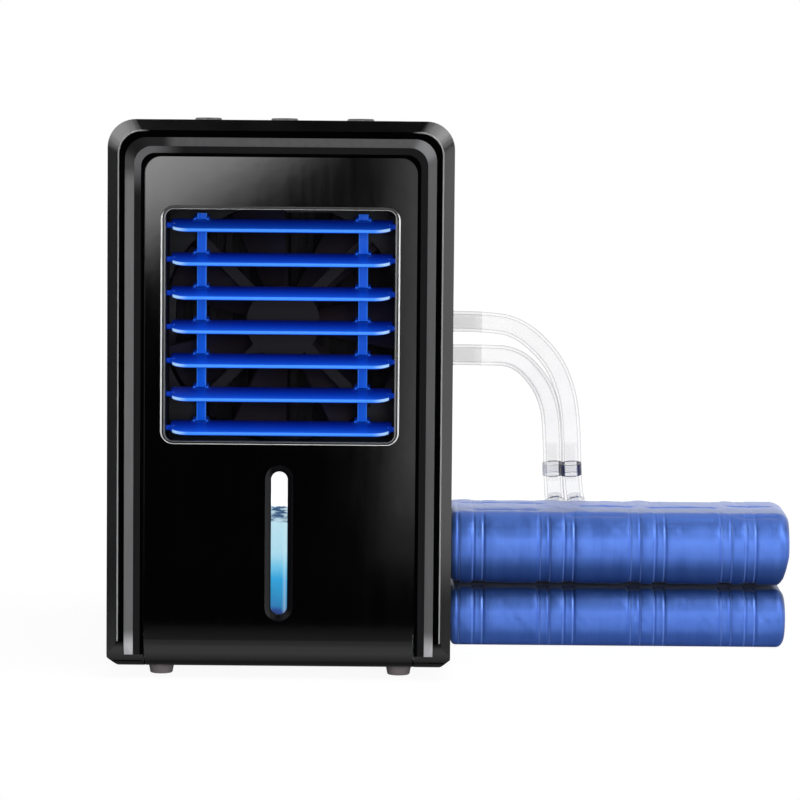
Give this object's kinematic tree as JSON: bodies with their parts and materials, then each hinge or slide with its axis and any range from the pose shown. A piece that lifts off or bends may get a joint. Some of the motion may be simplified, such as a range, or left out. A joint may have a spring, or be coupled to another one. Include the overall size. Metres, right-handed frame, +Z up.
{
  "type": "water cooling mattress pad",
  "caption": "Bedside water chiller with louvred fan front, level window, top buttons and fill lid, joined by clear hoses to a folded water-circulating mattress pad.",
  "frame": {"origin": "On the ground under the middle of the unit and pad together, at the bottom centre of their bounding box.", "axes": "+X runs from the unit's left side to the folded pad on its right, +Y from the louvred front to the back, +Z up."},
  "size_m": [0.3294, 0.206, 0.2616],
  "materials": {
    "housing_black": "fine satin texture",
    "panel_gloss": "polished",
    "trim_dark": "polished",
    "louvre_blue": "polished translucent",
    "clear_lens": "clear moulded",
    "water_blue": "clear",
    "rubber_grey": "matte",
    "tank_white": "milky",
    "filter_white": "fibrous",
    "frame_white": "moulded",
    "fan_dark": "moulded",
    "steel": "plated",
    "pump_black": "moulded",
    "fitting_grey": "moulded",
    "silicone": "smooth",
    "hose_clear": "clear smooth",
    "joiner_navy": "moulded",
    "button_grey": "satin",
    "board_green": "lacquered",
    "switch_black": "moulded",
    "jack_black": "moulded",
    "pad_blue": "coated satin weave"
  },
  "bodies": {
    "casing": {"front_frame": "housing_black", "main_shell": "housing_black", "rear_cover": "housing_black", "base_plate": "housing_black", "front_panel": "panel_gloss", "control_panel": "panel_gloss", "grille_trim": "trim_dark", "level_bezel": "trim_dark", "louvre_carrier": "trim_dark", "level_window": "clear_lens", "level_tube": "clear_lens", "indicator_lens": "clear_lens", "level_water": "water_blue", "rubber_feet": "rubber_grey", "fitting_seals": "rubber_grey", "pump_feet": "rubber_grey", "water_tank": "tank_white", "tank_deck": "tank_white", "drip_tray": "tank_white", "filter_core": "filter_white", "filter_frame": "frame_white", "fan_housing": "fan_dark", "fan_stator": "steel", "fan_screws": "steel", "board_screws": "steel", "cover_screws": "steel", "pump_body": "pump_black", "pump_cover": "pump_black", "supply_fitting": "fitting_grey", "return_fitting": "fitting_grey", "fitting_nuts": "fitting_grey", "supply_inner_hose": "silicone", "return_inner_hose": "silicone", "supply_hose": "hose_clear", "return_hose": "hose_clear", "supply_tail": "hose_clear", "return_tail": "hose_clear", "supply_joiner": "joiner_navy", "return_joiner": "joiner_navy", "pad_ports": "joiner_navy", "control_board": "board_green", "tact_switches": "switch_black", "power_jack": "jack_black", "mattress_pad": "pad_blue"},
    "louvre_slat_1": {"louvre_slat_1": "louvre_blue"},
    "louvre_slat_2": {"louvre_slat_2": "louvre_blue"},
    "louvre_slat_3": {"louvre_slat_3": "louvre_blue"},
    "louvre_slat_4": {"louvre_slat_4": "louvre_blue"},
    "louvre_slat_5": {"louvre_slat_5": "louvre_blue"},
    "louvre_slat_6": {"louvre_slat_6": "louvre_blue"},
    "louvre_slat_7": {"louvre_slat_7": "louvre_blue"},
    "link_bar_left": {"link_bar_left": "louvre_blue"},
    "link_bar_right": {"link_bar_right": "louvre_blue"},
    "fan_rotor": {"fan_rotor": "fan_dark"},
    "pump_impeller": {"pump_impeller": "pump_black"},
    "power_button": {"power_button": "button_grey"},
    "fan_button": {"fan_button": "button_grey"},
    "timer_button": {"timer_button": "button_grey"},
    "fill_lid": {"fill_lid": "panel_gloss"}
  },
  "joints": [
    {"name": "louvre_1_tilt", "type": "hinge", "parent": "casing", "child": "louvre_slat_1", "pos_m": [-0.08475, -0.086, 0.21115], "axis": [1, 0, 0], "range_deg": [-34, 26]},
    {"name": "louvre_2_tilt", "type": "hinge", "parent": "casing", "child": "louvre_slat_2", "pos_m": [-0.08475, -0.086, 0.1954], "axis": [1, 0, 0], "range_deg": [-34, 26]},
    {"name": "louvre_3_tilt", "type": "hinge", "parent": "casing", "child": "louvre_slat_3", "pos_m": [-0.08475, -0.086, 0.17965], "axis": [1, 0, 0], "range_deg": [-34, 26]},
    {"name": "louvre_4_tilt", "type": "hinge", "parent": "casing", "child": "louvre_slat_4", "pos_m": [-0.08475, -0.086, 0.1639], "axis": [1, 0, 0], "range_deg": [-34, 26]},
    {"name": "louvre_5_tilt", "type": "hinge", "parent": "casing", "child": "louvre_slat_5", "pos_m": [-0.08475, -0.086, 0.14815], "axis": [1, 0, 0], "range_deg": [-34, 26]},
    {"name": "louvre_6_tilt", "type": "hinge", "parent": "casing", "child": "louvre_slat_6", "pos_m": [-0.08475, -0.086, 0.1324], "axis": [1, 0, 0], "range_deg": [-34, 26]},
    {"name": "louvre_7_tilt", "type": "hinge", "parent": "casing", "child": "louvre_slat_7", "pos_m": [-0.08475, -0.086, 0.11665], "axis": [1, 0, 0], "range_deg": [-34, 26]},
    {"name": "link_left_pivot", "type": "hinge", "parent": "louvre_slat_4", "child": "link_bar_left", "pos_m": [-0.12265, -0.07397, 0.1669], "axis": [1, 0, 0], "range_deg": [-26, 34]},
    {"name": "link_right_pivot", "type": "hinge", "parent": "louvre_slat_4", "child": "link_bar_right", "pos_m": [-0.04685, -0.07397, 0.1669], "axis": [1, 0, 0], "range_deg": [-26, 34]},
    {"name": "fan_spin", "type": "hinge", "parent": "casing", "child": "fan_rotor", "pos_m": [-0.08475, -0.053, 0.16525], "axis": [0, 1, 0], "continuous": true},
    {"name": "pump_spin", "type": "hinge", "parent": "casing", "child": "pump_impeller", "pos_m": [-0.05875, 0.027, 0.029], "axis": [0, 1, 0], "continuous": true},
    {"name": "power_press", "type": "slide", "parent": "casing", "child": "power_button", "axis": [0, 0, -1], "range_m": [0, 0.001], "stiffness_N_per_m": 400, "springref_m": -0.0005},
    {"name": "fan_press", "type": "slide", "parent": "casing", "child": "fan_button", "axis": [0, 0, -1], "range_m": [0, 0.001], "stiffness_N_per_m": 400, "springref_m": -0.0005},
    {"name": "timer_press", "type": "slide", "parent": "casing", "child": "timer_button", "axis": [0, 0, -1], "range_m": [0, 0.001], "stiffness_N_per_m": 400, "springref_m": -0.0005},
    {"name": "lid_hinge", "type": "hinge", "parent": "casing", "child": "fill_lid", "pos_m": [-0.08475, 0.0222, 0.2562], "axis": [-1, 0, 0], "range_deg": [0, 95]}
  ],
  "couplings": [
    {"joint": "louvre_1_tilt", "follows": "louvre_4_tilt", "ratio": 1},
    {"joint": "louvre_2_tilt", "follows": "louvre_4_tilt", "ratio": 1},
    {"joint": "louvre_3_tilt", "follows": "louvre_4_tilt", "ratio": 1},
    {"joint": "louvre_5_tilt", "follows": "louvre_4_tilt", "ratio": 1},
    {"joint": "louvre_6_tilt", "follows": "louvre_4_tilt", "ratio": 1},
    {"joint": "louvre_7_tilt", "follows": "louvre_4_tilt", "ratio": 1},
    {"joint": "link_left_pivot", "follows": "louvre_4_tilt", "ratio": -1},
    {"joint": "link_right_pivot", "follows": "louvre_4_tilt", "ratio": -1}
  ]
}
